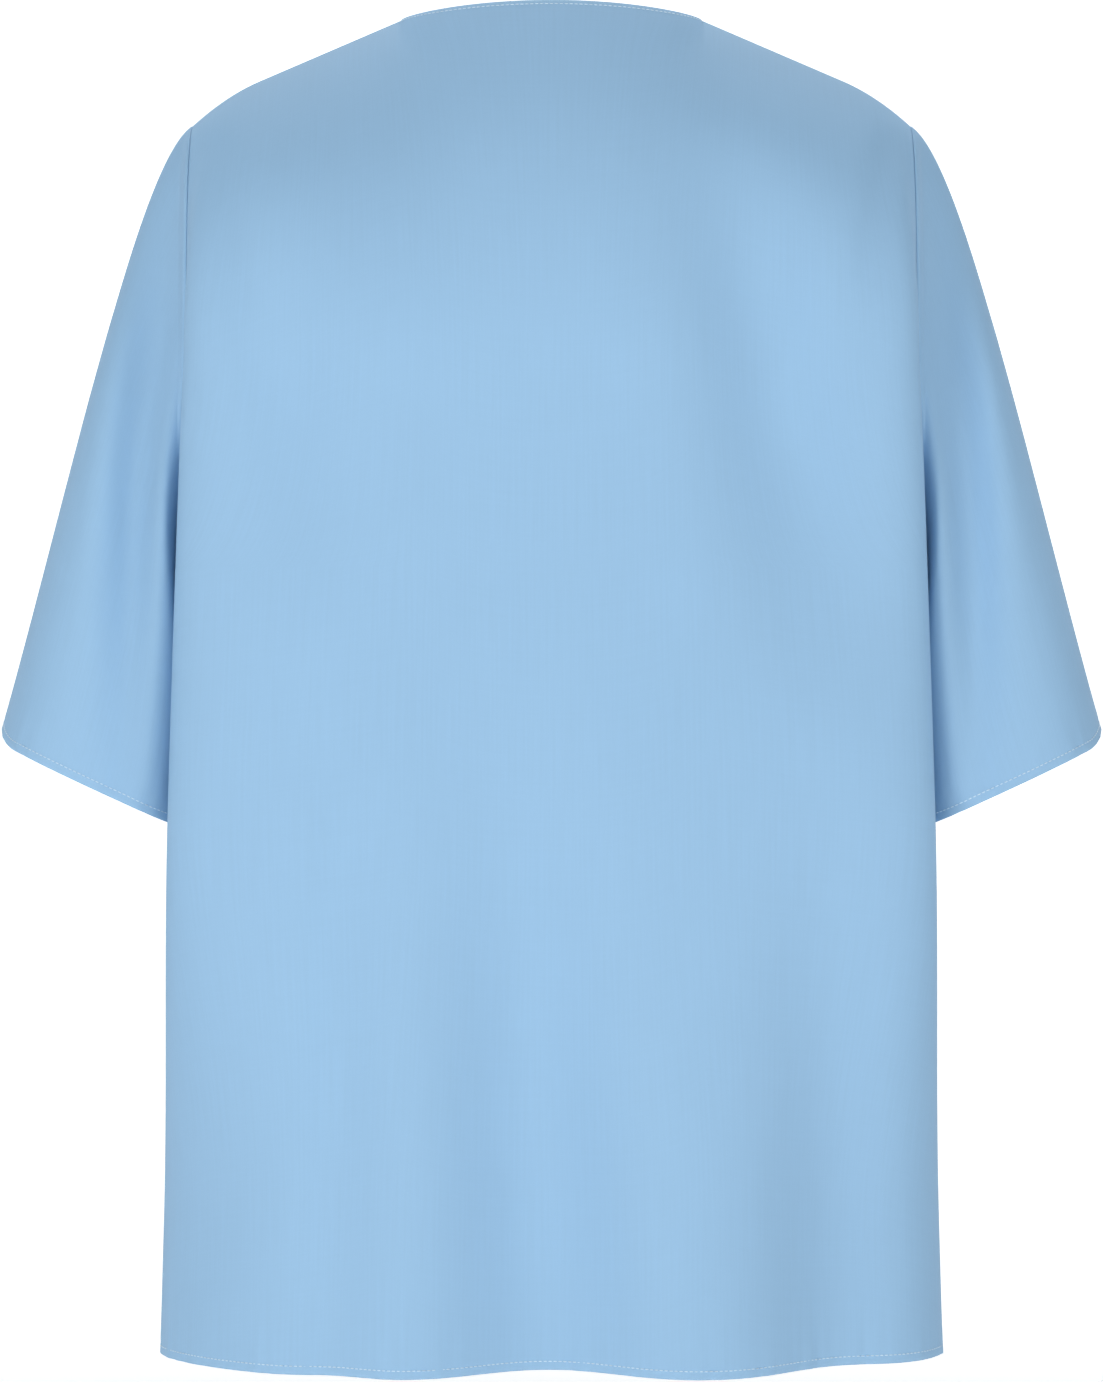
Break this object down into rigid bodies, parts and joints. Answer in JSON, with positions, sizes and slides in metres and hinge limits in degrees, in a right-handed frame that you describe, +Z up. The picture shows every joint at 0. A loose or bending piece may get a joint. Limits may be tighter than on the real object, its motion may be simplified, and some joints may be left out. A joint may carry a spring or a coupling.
{
  "type": "kimono cardigan",
  "caption": "Open-front kimono cardigan in light plain-woven cloth, with wide half sleeves, a collarless neckline and narrow turned hems, hanging as worn with no wearer.",
  "frame": {"origin": "midway between the neck ends of the two shoulder seams, where the garment rests on the wearer's shoulders", "axes": "+Z up along the garment's length, -Y the way the wearer faces, +X the wearer's left"},
  "size_m": [0.6596, 0.2318, 0.8068],
  "materials": {
    "cloth": "smooth, matt plain weave with a faint sheen, light blue",
    "thread": "fine sewing thread a shade paler than the cloth"
  },
  "bodies": {
    "root": {"back": "cloth", "front_left": "cloth", "front_right": "cloth", "sleeve_left": "cloth", "sleeve_right": "cloth"}
  },
  "joints": []
}
